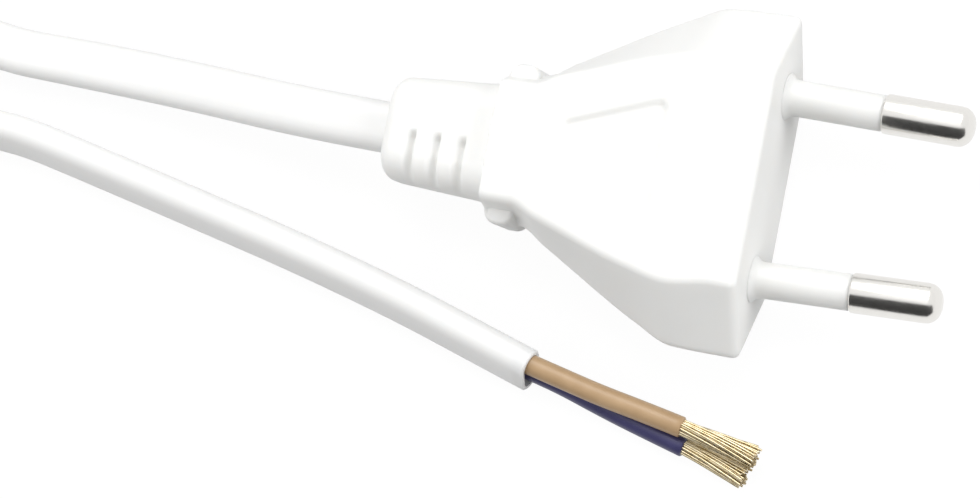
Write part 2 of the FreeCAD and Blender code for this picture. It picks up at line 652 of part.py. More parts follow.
def free_cord(doc, sheet):
    """Everything outside the strain relief: lead, hank, tie, tail and the stripped end."""
    diameter = value(sheet, "Dim.cord_width")
    fold = FreeCAD.Vector(value(sheet, EXIT_X) + NEAR_FOLD[0], NEAR_FOLD[1], 0)
    turn_radius = value(sheet, "(Dim.hank_width - Dim.cord_width) / 2 - Dim.run_in_cover")
    layer = value(sheet, "Dim.hank_height / 4")
    low = value(sheet, "Dim.tie_thickness") + layer
    lead, tail = route(sheet, LEAD), route(sheet, TAIL)
    lead[-1].z, tail[0].z = low, low + 2 * layer
    joins = {}
    for label, corner, side, run_in in (
        ("lead_run_in", lead[-1], 1, LEAD_RUN_IN),
        ("tail_run_in", tail[0], -1, TAIL_RUN_IN),
    ):
        touch = tangent_point(corner, fold, turn_radius, side)
        end = corner + (touch - corner).normalize() * run_in
        joins[label] = (end, touch)
    lead.append(joins["lead_run_in"][0])
    tail.insert(0, joins["tail_run_in"][0])
    nodes = [tube(doc, "cord_lead", lead, diameter), tube(doc, "cord_tail", tail, diameter)]
    ring, hank = hank_solid(doc, "cord_hank", fold, joins)
    nodes += [hank, hank_tie(doc, "hank_tie", ring, fold)]
    core = value(sheet, "Dim.core_diameter")
    for label, offsets, tip, spread in (
        ("brown", BROWN_END, BROWN_STRANDS_END, "Dim.wire_diameter / 2"),
        ("blue", BLUE_END, BLUE_STRANDS_END, "Dim.strand_flare / 2"),
    ):
        points = route(sheet, offsets)
        nodes.append(tube(doc, f"{label}_stripped_core", points, core))
        wire_end = route(sheet, [tip])[0]
        nodes.append(strands(doc, f"{label}_bare_strands", points[-1], wire_end, "Dim.wire_diameter / 2", spread))
    return nodes


def check(doc, nodes):
    """Stops if any object failed, or if a node's shape isn't valid."""
    for obj in doc.Objects:
        if {"Invalid", "Error"} & set(obj.State):
            raise RuntimeError(f"{obj.Label} failed: {obj.State}")
    for node in nodes:
        if node.Shape.isNull() or not node.Shape.isValid():
            raise RuntimeError(f"{node.Label} has no valid shape")


def main():
    doc = FreeCAD.newDocument("flat_plug")
    sheet = add_sheet(doc)
    inserts = []
    # The pins and their sleeves come first, because the bar is moulded round them.
    for pole, side in (("line", 1), ("neutral", -1)):
        inserts.append(contact_pin(doc, f"{pole}_pin", side))
        inserts.append(pin_sleeve(doc, f"{pole}_pin_sleeve", side))
    bar = bridge_form(doc)
    bridge = cut(doc, "pin_bridge", bar, fused(doc, "pins_and_sleeves", list(inserts)))
    inserts.append(bridge)
    for pole, side in (("brown", 1), ("blue", -1)):
        inserts.append(crimped_wire(doc, f"{pole}_crimped_wire", side))
        inserts.append(inner_core(doc, sheet, f"{pole}_inner_core", side))
    inserts.append(sheath_end(doc, "cord_sheath_end"))
    form = fused(doc, "moulding_form", [plug_shell(doc), finger_lugs(doc), strain_relief(doc)])
    filled = fused(doc, "moulded_over", inserts + [marking_recess(doc)])
    moulding = cut(doc, "outer_moulding", form, filled)
    nodes = [moulding] + inserts + free_cord(doc, sheet)
    doc.recompute()
    check(doc, nodes)
    os.makedirs("parts", exist_ok=True)
    for node in nodes:
        node.Shape.exportStep(f"parts/{node.Label}.step")
        box = node.Shape.BoundBox
        low = [round(x, 2) for x in (box.XMin, box.YMin, box.ZMin)]
        high = [round(x, 2) for x in (box.XMax, box.YMax, box.ZMax)]
        print(f"{node.Label}: {len(node.Shape.Solids)} solid, {node.Shape.Volume:.1f} mm3, {low} to {high}")


main()
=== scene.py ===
import math

import bmesh
import bpy
from mathutils import Matrix, Vector


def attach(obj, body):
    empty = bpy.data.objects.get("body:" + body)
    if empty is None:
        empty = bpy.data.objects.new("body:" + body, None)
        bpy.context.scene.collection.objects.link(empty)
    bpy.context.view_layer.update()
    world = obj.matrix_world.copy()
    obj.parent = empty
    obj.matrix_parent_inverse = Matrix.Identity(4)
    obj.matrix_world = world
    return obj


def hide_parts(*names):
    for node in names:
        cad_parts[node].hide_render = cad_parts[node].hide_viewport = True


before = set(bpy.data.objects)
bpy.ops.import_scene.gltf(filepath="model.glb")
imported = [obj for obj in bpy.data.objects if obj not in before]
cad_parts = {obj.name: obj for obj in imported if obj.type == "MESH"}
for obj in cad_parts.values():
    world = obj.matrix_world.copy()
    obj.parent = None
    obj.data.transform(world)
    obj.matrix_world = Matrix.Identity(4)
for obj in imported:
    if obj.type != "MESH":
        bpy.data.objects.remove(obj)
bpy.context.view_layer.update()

# A flat two-pin mains plug on a flat two-core lead whose far end is stripped.
# Places in the tables are millimetres, as in the part's source; everything built is in metres.
# +X runs along the pins, +Z is up, and the plug lies on its broad side on the surface at Z = 0.
MM = 0.001
FACE_X = 11.05
MIDDLE_Z = 6.85
EXIT = Vector((-30.05, 0.0, MIDDLE_Z))


# The photograph's camera, as fitted to the pins, the face and the cord's exit.
# Its back is the direction from the plug towards it.
CAMERA_PLACE = Vector((73.130, -26.416, 253.519))
CAMERA_RIGHT = Vector((0.92581, 0.19066, -0.32639))
CAMERA_BACK = Vector((0.34270, -0.05907, 0.93758))
SENSOR_WIDTH = 36.0
LENS = 93.44
NEAREST_SEEN, FURTHEST_SEEN = 0.01, 20.0


def add_object(name, data):
    """Puts new data in the scene as an object."""
    made = bpy.data.objects.new(name, data)
    bpy.context.scene.collection.objects.link(made)
    return made


def photo_camera():
    """Makes the scene's camera."""
    data = bpy.data.cameras.new("photo_camera")
    data.sensor_width = SENSOR_WIDTH
    data.lens = LENS
    data.clip_start = NEAREST_SEEN
    data.clip_end = FURTHEST_SEEN
    back = CAMERA_BACK.normalized()
    up = back.cross(CAMERA_RIGHT).normalized()
    right = up.cross(back).normalized()
    turn = Matrix((right, up, back)).transposed().to_4x4()
    camera = add_object("photo_camera", data)
    camera.matrix_world = Matrix.Translation(CAMERA_PLACE * MM) @ turn
    bpy.context.scene.camera = camera


photo_camera()


# The cord's route, the same points as the part's source.

# Millimetres from the middle of the cord's exit. Here the flat cord lies on its broad side, so it runs
# lower than the round tube that stands in for it in the source.
LEAD = [
    (0.0, 0.0, 0.0),
    (-10.0, 0.2, -0.4),
    (-25.0, 1.45, -3.1),
    (-40.0, 2.3, -4.75),
    (-53.0, 2.6, -4.65),
    (-64.5, 6.9, -4.2),
    (-75.0, 12.5, -3.6),
]
TAIL = [
    (-72.3, -11.4, 1.6),
    (-61.0, -7.5, -1.6),
    (-49.0, -6.3, -4.1),
    (-36.2, -8.9, -4.15),
    (-23.0, -11.7, -4.15),
    (-10.2, -14.45, -4.15),
    (2.3, -17.55, -4.15),
    (10.1, -19.85, -4.15),
    (18.5, -22.35, -4.2),
]
BROWN_END = [
    (18.68, -21.75, -3.3),
    (22.0, -22.5, -3.6),
    (26.5, -23.5, -3.8),
    (30.9, -24.25, -4.0),
    (35.6, -25.15, -4.15),
]
BLUE_END = [
    (18.5, -22.35, -5.3),
    (21.8, -23.15, -5.72),
    (26.2, -24.5, -5.72),
    (30.7, -25.75, -5.72),
    (35.8, -27.05, -5.72),
]

CORD_WIDTH = 5.5
CORD_THICKNESS = 3.4

# The hank: four turns side by side in each of two layers, on edge, lying on the tie.
NEAR_FOLD_X = -135.85
HANK_LENGTH = 87.2
HANK_WIDTH = 52.0
HANK_BUNDLE = 14.4
HANK_HEIGHT = 11.0
TIE_THICKNESS = 0.6
TURNS_SIDE_BY_SIDE = 4
LOWER_LAYER = TIE_THICKNESS + HANK_HEIGHT / 4
UPPER_LAYER = TIE_THICKNESS + HANK_HEIGHT * 3 / 4
LEAD_ENTERS = 65.4
TAIL_LEAVES = -65.7
POINTS_PER_TURN = 24
# A NURBS line runs inside its control points where they turn, so these stand a little further out.
FOLD_REACH = 1.02
LINE_DETAIL = 10

TURN_PITCH = HANK_BUNDLE / TURNS_SIDE_BY_SIDE
OUTER_TURN = (HANK_WIDTH - TURN_PITCH) / 2
INNER_TURN = OUTER_TURN - TURN_PITCH * (TURNS_SIDE_BY_SIDE - 1)
STRAIGHT = HANK_LENGTH - HANK_WIDTH
FOLD_LENGTH = math.pi * (OUTER_TURN + INNER_TURN) / 2
FOLD_SHARE = FOLD_LENGTH / (2 * (FOLD_LENGTH + STRAIGHT))


def smooth(t):
    """Eases from 0 to 1."""
    t = min(1.0, max(0.0, t))
    return t * t * (3.0 - 2.0 * t)


def on_hank(turns, radius, height):
    """A point of the hank. The turns count from the near fold's -Y end, the radius from a fold's middle."""
    part = turns % 1.0
    side = 1.0 if part < 0.5 else -1.0
    way = part % 0.5
    if way < FOLD_SHARE:
        angle = math.radians(-90.0 + 180.0 * way / FOLD_SHARE)
        reach = radius * FOLD_REACH
        x, y = reach * math.cos(angle), reach * math.sin(angle)
    else:
        x, y = -STRAIGHT * (way - FOLD_SHARE) / (0.5 - FOLD_SHARE), radius
    near = NEAR_FOLD_X if side > 0 else NEAR_FOLD_X - STRAIGHT
    return Vector((near + side * x, side * y, height))


def hank_points():
    """The hank's control points: inwards along the lower layer, up, and outwards along the upper one."""
    layer_turns = TURNS_SIDE_BY_SIDE - 1
    start = (LEAD_ENTERS + 90.0) / 180.0 * FOLD_SHARE
    end = (TAIL_LEAVES + 90.0) / 180.0 * FOLD_SHARE
    climb_turns = 1.0 + end - start
    total = 2 * layer_turns + climb_turns
    count = round(total * POINTS_PER_TURN)
    points = []
    for i in range(count + 1):
        gone = total * i / count
        radius = OUTER_TURN - TURN_PITCH * min(gone, layer_turns, total - gone)
        lift = smooth((gone - layer_turns) / climb_turns)
        height = LOWER_LAYER + (UPPER_LAYER - LOWER_LAYER) * lift
        points.append(on_hank(start + gone, radius, height))
    return points


def from_exit(offsets):
    """Places from offsets that count from the cord's exit."""
    return [EXIT + Vector(offset) for offset in offsets]


def nurbs_line(name, points):
    """Points along the smooth NURBS line that has the given control points, in millimetres."""
    curve = bpy.data.curves.new(name, "CURVE")
    curve.dimensions = "3D"
    curve.resolution_u = LINE_DETAIL
    spline = curve.splines.new("NURBS")
    spline.points.add(len(points) - 1)
    for target, point in zip(spline.points, points):
        target.co = (*point, 1.0)
    spline.order_u = 3
    spline.use_endpoint_u = True
    holder = add_object(name, curve)
    bpy.context.view_layer.update()
    mesh = bpy.data.meshes.new_from_object(holder)
    line = [Vector(vertex.co) for vertex in mesh.vertices]
    bpy.data.objects.remove(holder)
    bpy.data.curves.remove(curve)
    bpy.data.meshes.remove(mesh)
    return line


def frames_along(line):
    """For each point of a line: itself, its direction, level side and upper side, and the way so far."""
    result, way = [], 0.0
    for i, point in enumerate(line):
        ahead = (line[min(i + 1, len(line) - 1)] - line[max(i - 1, 0)]).normalized()
        side = Vector((0.0, 0.0, 1.0)).cross(ahead).normalized()
        upper = ahead.cross(side).normalized()
        if i:
            way += (point - line[i - 1]).length
        result.append((point, ahead, side, upper, way))
    return result


# Mesh helpers.

SAME_PLACE = 1e-7


def add_piece(name, mesh, smooth_angle=40.0):
    """Puts a finished mesh in the scene at the origin, smooth except at its sharp edges."""
    piece = add_object(name, mesh)
    for polygon in mesh.polygons:
        polygon.use_smooth = True
    mesh.set_sharp_from_angle(angle=math.radians(smooth_angle))
    return piece


def mesh_from_rings(name, rings, close_ends=True, closed_loop=False):
    """Skins a row of rings, given in millimetres, and closes the ends with a fan."""
    count = len(rings[0])
    vertices = [vertex * MM for ring in rings for vertex in ring]
    faces = []
    rows = len(rings)
    for row in range(rows if closed_loop else rows - 1):
        for i in range(count):
            here, after = row * count, ((row + 1) % rows) * count
            faces.append((here + i, here + (i + 1) % count, after + (i + 1) % count, after + i))
    if close_ends and not closed_loop:
        for row in (0, rows - 1):
            middle = sum(rings[row], Vector()) / count
            vertices.append(middle * MM)
            centre = len(vertices) - 1
            for i in range(count):
                faces.append((row * count + i, row * count + (i + 1) % count, centre))
    mesh = bpy.data.meshes.new(name)
    mesh.from_pydata([tuple(vertex) for vertex in vertices], [], faces)
    tidy_normals(mesh)
    return mesh


def tidy_normals(mesh):
    """Merges doubles and turns every face outwards."""
    work = bmesh.new()
    work.from_mesh(mesh)
    bmesh.ops.remove_doubles(work, verts=work.verts, dist=SAME_PLACE)
    bmesh.ops.recalc_face_normals(work, faces=work.faces)
    work.to_mesh(mesh)
    work.free()


def join_meshes(name, meshes):
    """One mesh out of several."""
    work = bmesh.new()
    for mesh in meshes:
        work.from_mesh(mesh)
    joined = bpy.data.meshes.new(name)
    work.to_mesh(joined)
    work.free()
    return joined


# The flat cord.

def flat_section(width, thickness, segments=9):
    """The flat cord's outline: two parallel broad faces and two rounded edges, as (across, up) pairs."""
    radius = thickness / 2
    reach = width / 2 - radius
    outline = []
    for side in (1, -1):
        start = -90.0 if side > 0 else 90.0
        for i in range(segments + 1):
            angle = math.radians(start + 180.0 * i / segments)
            outline.append((side * reach + radius * math.cos(angle), radius * math.sin(angle)))
        for i in range(1, 4):
            step = i / 4
            outline.append((side * reach * (1 - 2 * step), side * radius))
    return outline


# The cord lies flat at the plug and turns on edge before the hank. After the hank it leans, in degrees.
ON_EDGE = 90.0
TAIL_LEAN = 59.0
ROLL_STARTS = 25.0
ROLL_SPARE = 2.0
LEAN_STARTS = 62.0
LEAN_RUN = 50.0

# The cord's cut ends have slightly rounded rims: a share of its outline and a shift along it.
# The stripped end is open, with the cores in it.
START_RIM = ((0.93, 0.0), (1.0, 0.12))
STRIPPED_RIM = ((1.0, -0.14), (0.94, 0.0))
SHEATH_WALL = 0.475
OPEN_DEPTH = 1.3


def cord_roll(way, total):
    """How far the flat cord is turned about its own line."""
    if way < LEAD_WAY:
        return ON_EDGE * smooth((way - ROLL_STARTS) / (LEAD_WAY - ROLL_SPARE - ROLL_STARTS))
    if way < TAIL_WAY:
        return ON_EDGE
    left = total - way
    return TAIL_LEAN + (ON_EDGE - TAIL_LEAN) * smooth((left - LEAN_STARTS) / LEAN_RUN)


def swept_flat(name, line, width, thickness, roll_of):
    """Sweeps the flat outline along a line, with an open end at its last point."""
    solid = flat_section(width, thickness)
    hollow = flat_section(width - 2 * SHEATH_WALL, thickness - 2 * SHEATH_WALL)
    stations = frames_along(line)
    total = stations[-1][4]

    def ring(station, shrink=1.0, shift=0.0, outline=solid):
        point, ahead, side, upper, way = station
        roll = math.radians(roll_of(way, total))
        across = side * math.cos(roll) + upper * math.sin(roll)
        rise = upper * math.cos(roll) - side * math.sin(roll)
        return [point + ahead * shift + across * (x * shrink) + rise * (y * shrink) for x, y in outline]

    rings = [ring(stations[0], *rim) for rim in START_RIM]
    rings += [ring(station) for station in stations[1:-1]]
    rings += [ring(stations[-1], *rim) for rim in STRIPPED_RIM]
    rings += [ring(stations[-1], 1.0, shift, hollow) for shift in (0.0, -OPEN_DEPTH)]
    return mesh_from_rings(name, rings)


LINE = nurbs_line("cord_line", from_exit(LEAD) + hank_points() + from_exit(TAIL))
WAYS = frames_along(LINE)
CORD_RUN = WAYS[-1][4]
LEAD_WAY = next(way for point, *_, way in WAYS if point.x < NEAR_FOLD_X)
TAIL_WAY = next(way for point, *_, way in reversed(WAYS) if point.x < NEAR_FOLD_X)

cord_mesh = swept_flat("flat_cord", LINE, CORD_WIDTH, CORD_THICKNESS, cord_roll)
flat_cord = add_piece("flat_cord", cord_mesh)
print("cord line of", round(CORD_RUN, 1), "mm, with the hank from", round(LEAD_WAY), "to", round(TAIL_WAY))


# Node helpers.

def srgb(code):
    """A hex colour as linear red, green, blue and alpha."""
    channels = [int(code[i:i + 2], 16) / 255 for i in (1, 3, 5)]
    return tuple(c / 12.92 if c <= 0.04045 else ((c + 0.055) / 1.055) ** 2.4 for c in channels) + (1.0,)


def node(tree, kind, settings=None, links=None):
    """Adds a node, sets its properties and sockets, and links other nodes' outputs to its sockets."""
    made = tree.nodes.new(kind)
    for name, setting in (settings or {}).items():
        if isinstance(name, int) or name in made.inputs:
            made.inputs[name].default_value = setting
        else:
            setattr(made, name, setting)
    for name, source in (links or {}).items():
        tree.links.new(source, made.inputs[name])
    return made


def math_of(tree, operation, *values):
    """A math node's output. Each value is a number or another node's output."""
    made = node(tree, "ShaderNodeMath", {"operation": operation})
    for place, value in enumerate(values):
        if isinstance(value, bpy.types.NodeSocket):
            tree.links.new(value, made.inputs[place])
        else:
            made.inputs[place].default_value = value
    return made.outputs[0]


def vector_of(tree, operation, first, second):
    """A vector math node's output, of two other nodes' outputs."""
    sources = {0: first, "Scale" if operation == "SCALE" else 1: second}
    return node(tree, "ShaderNodeVectorMath", {"operation": operation}, sources).outputs[0]


def noise(tree, size_mm, detail):
    """A noise of a real size, fixed to the piece."""
    place = node(tree, "ShaderNodeTexCoord").outputs["Object"]
    settings = {"Scale": 1.0 / (size_mm * MM), "Detail": detail}
    return node(tree, "ShaderNodeTexNoise", settings, {"Vector": place}).outputs["Fac"]


def ranged(tree, source, low, high):
    """Spreads a pattern over a range of values."""
    return node(tree, "ShaderNodeMapRange", {"To Min": low, "To Max": high}, {"Value": source}).outputs[0]


def tinted(tree, source, deep, pale):
    """A pattern between two colours."""
    return node(tree, "ShaderNodeMix", {"data_type": "RGBA", 6: deep, 7: pale}, {0: source}).outputs[2]


def bumped(tree, source, strength, depth_mm):
    """A pattern as small bumps."""
    settings = {"Strength": strength, "Distance": depth_mm * MM}
    return node(tree, "ShaderNodeBump", settings, {"Height": source}).outputs[0]


def principled(tree, settings, links):
    """The principled shader, straight to the material's output."""
    surface = node(tree, "ShaderNodeBsdfPrincipled", settings, links).outputs[0]
    node(tree, "ShaderNodeOutputMaterial", {}, {"Surface": surface})


def new_tree(name):
    """A new material and its empty node tree."""
    material = bpy.data.materials.new(name)
    material.use_nodes = True
    material.node_tree.nodes.clear()
    return material, material.node_tree


# Materials.

PVC_IOR = 1.53
GLOSS_SPREAD = 0.06
CLOUD_SIZE = 9.0
CLOUD_SHADE = 0.965
# The turning marks are really about 0.1 mm apart. They are drawn coarser, so that they show at all.
LATHE_PITCH = 0.7178
# The wave texture repeats 20 / (2 pi) times for each unit of scale.
WAVES_PER_SCALE = 20.0


def moulded_pvc(name, colour, roughness, grain_mm, depth_mm):
    """Soft PVC as it leaves a steel mould or a die: even colour, satin, with the tool's fine grain."""
    material, tree = new_tree(name)
    cloud = noise(tree, CLOUD_SIZE, 2.0)
    darker = tuple(channel * CLOUD_SHADE for channel in srgb(colour)[:3]) + (1.0,)
    principled(
        tree,
        {
            "IOR": PVC_IOR, "Subsurface Weight": 0.5, "Subsurface Scale": 1.2 * MM,
            "Subsurface Radius": (1.0, 0.95, 0.9),
        },
        {
            "Base Color": tinted(tree, cloud, darker, srgb(colour)),
            "Roughness": ranged(tree, cloud, roughness - GLOSS_SPREAD, roughness + GLOSS_SPREAD),
            "Normal": bumped(tree, noise(tree, grain_mm, 3.0), 0.35, depth_mm),
        },
    )
    return material


def plated_pin():
    """Turned brass under bright nickel: a warm grey mirror with faint lathe rings across the pin."""
    material, tree = new_tree("nickel_plated_turned_brass")
    rings = node(
        tree, "ShaderNodeTexWave",
        {
            "bands_direction": "X", "Scale": 2 * math.pi / (WAVES_PER_SCALE * LATHE_PITCH * MM),
            "Distortion": 0.6, "Detail": 1.0,
        },
        {"Vector": node(tree, "ShaderNodeTexCoord").outputs["Object"]},
    )
    principled(
        tree,
        {"Base Color": srgb("#E8E6E2"), "Metallic": 1.0},
        {
            "Roughness": ranged(tree, noise(tree, 0.5, 4.0), 0.14, 0.30),
            "Normal": bumped(tree, rings.outputs["Fac"], 0.12, 0.004),
        },
    )
    return material


def core_insulation(name, colour, deep):
    """Thin extruded PVC over strands: satin under a thin gloss, a little uneven in colour."""
    material, tree = new_tree(name)
    principled(
        tree,
        {"Roughness": 0.5, "IOR": 1.45, "Coat Weight": 0.35, "Coat Roughness": 0.3, "Coat IOR": 1.5},
        {
            "Base Color": tinted(tree, noise(tree, 2.5, 2.0), srgb(deep), srgb(colour)),
            "Normal": bumped(tree, noise(tree, 0.35, 2.0), 0.25, 0.02),
        },
    )
    return material


def drawn_copper():
    """Bare soft copper strands, drawn bright: a yellow gold metal, a little duller in places."""
    material, tree = new_tree("drawn_bare_copper")
    dull = noise(tree, 0.8, 3.0)
    principled(
        tree,
        {"Metallic": 1.0},
        {
            "Base Color": tinted(tree, dull, srgb("#B79E64"), srgb("#F8EFD6")),
            "Roughness": ranged(tree, dull, 0.2, 0.38),
        },
    )
    return material


BODY_PVC = moulded_pvc("moulded_soft_white_pvc", "#F1F1EF", 0.46, 0.14, 0.012)
SLEEVE_PLASTIC = moulded_pvc("moulded_sleeve_nylon", "#ECECEA", 0.34, 0.2, 0.005)
SHEATH_PVC = moulded_pvc("extruded_white_pvc_sheath", "#EFEFEE", 0.36, 0.3, 0.01)
BRIDGE_PLASTIC = moulded_pvc("moulded_glass_filled_nylon", "#D8D6CE", 0.5, 0.2, 0.02)
TIE_NYLON = moulded_pvc("moulded_natural_nylon_tie", "#E9E8E2", 0.4, 0.2, 0.005)
PIN_METAL = plated_pin()
BROWN_PVC = core_insulation("extruded_brown_pvc", "#BC9F7C", "#A28460")
BLUE_PVC = core_insulation("extruded_blue_pvc", "#42406C", "#343258")
COPPER = drawn_copper()


def paint(piece, material):
    """Gives a piece one material."""
    piece.data.materials.clear()
    piece.data.materials.append(material)


def finish_piece(piece, material, replaced):
    """Gives a piece its material and says what it rides on and stands for."""
    paint(piece, material)
    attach(piece, "root")
    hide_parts(*replaced)


# The moulded body: one skin from the engagement face to the cord's mouth.

# Behind the face: half width to the points, half of the broad flat, half thickness.
BODY_STATIONS = [
    (0.0, 17.95, 10.8, 6.85),
    (2.5, 17.95, 10.8, 6.85),
    (7.2, 17.75, 11.4, 6.83),
    (11.3, 15.95, 10.6, 6.65),
    (15.0, 13.95, 9.6, 6.4),
    (18.6, 11.85, 8.4, 6.1),
    (22.4, 9.65, 7.2, 5.8),
    (25.3, 8.05, 6.1, 5.5),
    (28.5, 8.05, 6.1, 5.5),
]
EDGE_ROUNDING = 1.1
LEAST_ROUNDING = 0.25
RIM_ROUNDING = 0.8
CORNER_STEPS = 6
EDGE_STEPS = (24, 66, 24, 24, 44, 24)
BODY_END = 28.5
NECK_START = 25.3
PLUG_END = 41.1


def between(table, place):
    """Smooth values between a table's rows, without overshoot."""
    gaps = [after[0] - before[0] for before, after in zip(table, table[1:])]
    index = max(i for i in range(len(gaps)) if i == 0 or table[i][0] <= place)
    result = []
    for column in range(1, len(table[0])):
        steps = zip(table, table[1:], gaps)
        rises = [(after[column] - before[column]) / gap for before, after, gap in steps]
        slopes = [rises[0]]
        for i in range(1, len(rises)):
            same_way = rises[i - 1] * rises[i] > 0
            slopes.append(2 / (1 / rises[i - 1] + 1 / rises[i]) if same_way else 0.0)
        slopes.append(rises[-1])
        gap = gaps[index]
        t = (place - table[index][0]) / gap
        start, end = table[index][column], table[index + 1][column]
        bend = start * (2 * t**3 - 3 * t**2 + 1) + end * (3 * t**2 - 2 * t**3)
        pull = slopes[index] * (t**3 - 2 * t**2 + t) + slopes[index + 1] * (t**3 - t**2)
        result.append(bend + gap * pull)
    return result


def rounded_outline(corners, rounding, arc_steps, edge_steps):
    """A polygon's outline with rounded corners, always with the same number of points."""
    arcs = []
    for i, corner in enumerate(corners):
        back = (corners[i - 1] - corner).normalized()
        ahead = (corners[(i + 1) % len(corners)] - corner).normalized()
        half = back.angle(ahead) / 2
        middle = corner + (back + ahead).normalized() * (rounding / math.sin(half))
        first = corner + back * (rounding / math.tan(half)) - middle
        start = math.atan2(first.y, first.x)
        sweep = math.pi - 2 * half
        turns = [start + sweep * k / arc_steps for k in range(arc_steps + 1)]
        arcs.append([middle + Vector((math.cos(a), math.sin(a))) * rounding for a in turns])
    outline = []
    for i, arc in enumerate(arcs):
        outline += arc
        end, after = arc[-1], arcs[(i + 1) % len(arcs)][0]
        outline += [end.lerp(after, k / edge_steps[i]) for k in range(1, edge_steps[i])]
    return outline


def body_outline(behind, inset=0.0):
    """The body's section behind the face, drawn in by an even inset."""
    wide, flat, high = between(BODY_STATIONS, behind)
    slant = math.hypot(high, wide - flat)
    point = wide - inset * slant / high
    top = high - inset
    edge = (wide * high - inset * slant - (wide - flat) * top) / high
    corners = [(point, 0.0), (edge, top), (-edge, top), (-point, 0.0), (-edge, -top), (edge, -top)]
    rounding = max(EDGE_ROUNDING - inset, LEAST_ROUNDING)
    return rounded_outline([Vector(corner) for corner in corners], rounding, CORNER_STEPS, EDGE_STEPS)


# The marking panel: its outline on the upper flat, as places along and across, and its depth.
# Its floor rises towards the pins, where only the far corner keeps its step.
PANEL = [(-11.0, -5.3), (-11.0, 5.3), (-19.9, 2.2), (-19.9, -2.2)]
PANEL_GROWTH = 1.05
PANEL_DEPTH = 0.35
PANEL_RAMP = 0.5
PANEL_RISE = 0.7
RISE_FROM, RISE_RUN = 15.0, 5.0
KEPT_CORNER, CORNER_RUN = 5.4, 1.6


def panel_depth(behind, across):
    """How deep the marking panel is at a place on the upper flat."""
    depth = (PANEL_GROWTH - distance_to_panel(-behind, across)) / PANEL_RAMP
    near_pins = smooth((RISE_FROM - behind) / RISE_RUN)
    off_corner = smooth((KEPT_CORNER - across) / CORNER_RUN)
    return PANEL_DEPTH * smooth(depth) * (1.0 - PANEL_RISE * near_pins * off_corner)


def distance_to_panel(x, y):
    """The distance from a point to the panel's inner outline; negative inside it."""
    inside, nearest = True, 1e9
    here = Vector((x, y))
    for start, end in zip(PANEL, PANEL[1:] + PANEL[:1]):
        a, b = Vector(start), Vector(end)
        edge = b - a
        t = min(1.0, max(0.0, (here - a).dot(edge) / edge.length_squared))
        nearest = min(nearest, (here - (a + edge * t)).length)
        if edge.x * (y - a.y) - edge.y * (x - a.x) < 0:
            inside = False
    return -nearest if inside else nearest


# The finger lugs: their corners along and over the plug, how far out they stand, and half their height.
LUG_CORNER = 1.3
LUG_EDGE = 0.9
LUG_REACH = 8.4
LUG_HALF_HEIGHT = 3.3
LUG_BLEND = 0.35


def lug_reach(behind, height):
    """How far out the finger lugs stand at a place behind the face and a height from the middle."""
    middle, half = (NECK_START + BODY_END) / 2, (BODY_END - NECK_START) / 2
    off = max(0.0, abs(behind - middle) - (half - LUG_CORNER))
    lift = max(0.0, abs(height) - (LUG_HALF_HEIGHT - LUG_EDGE))
    if off >= LUG_CORNER or lift >= LUG_EDGE:
        return 0.0
    along_corner = LUG_CORNER - math.sqrt(LUG_CORNER**2 - off**2)
    over_edge = LUG_EDGE - math.sqrt(LUG_EDGE**2 - lift**2)
    return LUG_REACH - along_corner - over_edge


def softer_max(a, b, blend):
    """The larger of two values, blended where they are close."""
    mix = max(0.0, blend - abs(a - b)) / blend
    return max(a, b) + mix * mix * blend / 4


def relief_radius(angle, wide, high, rounding):
    """From the middle to a rounded rectangle, along an angle."""
    c, s = abs(math.cos(angle)), abs(math.sin(angle))
    if c > 1e-9 and wide * s / c <= high - rounding:
        return wide / c
    if s > 1e-9 and high * c / s <= wide - rounding:
        return high / s
    x, y = wide - rounding, high - rounding
    return x * c + y * s + math.sqrt(max(0.0, rounding**2 - (x * s - y * c)**2))


# The strain relief: half sizes at its start and its end, its corners, and how it leaves the body.
RELIEF_START = (6.15, 4.7)
RELIEF_TIP = (5.45, 4.0)
RELIEF_CORNER = 3.2
LEAST_CORNER = 0.6
FLOW_HEIGHT = 0.72
FLOW_LENGTH = 2.6
TIP_ROUNDING = 1.6
TIP_STEPS = 8
DRAW_IN = 0.08
DRAW_IN_LENGTH = 0.5
# The steps of the joint between body and relief: behind the body's end, and how much fuller.
JOINT = ((0.02, 0.1), (0.1, 0.04), (0.25, 0.01))
JOINT_END = 0.5
# The cord's mouth: half sizes and depths.
MOUTH = ((2.98, 1.95, 0.0), (2.8, 1.76, 0.12), (2.78, 1.74, 1.2))
MOUTH_CORNER_SPARE = 0.02

SLOTS = (31.6, 34.45, 37.3)
# Across a slot: steep on the pins' side, and rising gently towards the cord.
SLOT_SHAPE = (
    (-0.44, 0.0), (-0.36, 0.07), (-0.3, 0.6), (-0.25, 0.93), (-0.12, 1.0),
    (0.06, 0.92), (0.26, 0.66), (0.46, 0.36), (0.66, 0.12), (0.86, 0.0),
)


# The slots' angles about the plug's length, in degrees, and how they fade at their inner and lower ends.
SLOT_DEPTH = 1.05
SLOT_FROM, SLOT_INNER_FADE = 90.0, 18.0
SLOT_TO, SLOT_LOWER_FADE = 167.0, 34.0


def slot_depth(angle):
    """A slot's depth along an angle: above on one side, below on the other, shallower at its ends."""
    turn = math.degrees(angle % math.pi)
    inner = smooth((turn - SLOT_FROM) / SLOT_INNER_FADE)
    return SLOT_DEPTH * inner * smooth((SLOT_TO - turn) / SLOT_LOWER_FADE)


def relief_size(behind):
    """The strain relief's half width and half thickness; it flows out of the body's thickness."""
    part = (behind - BODY_END) / (PLUG_END - BODY_END)
    wide, high = (start + (end - start) * part for start, end in zip(RELIEF_START, RELIEF_TIP))
    return wide, high + FLOW_HEIGHT * (1.0 - smooth((behind - BODY_END) / FLOW_LENGTH))


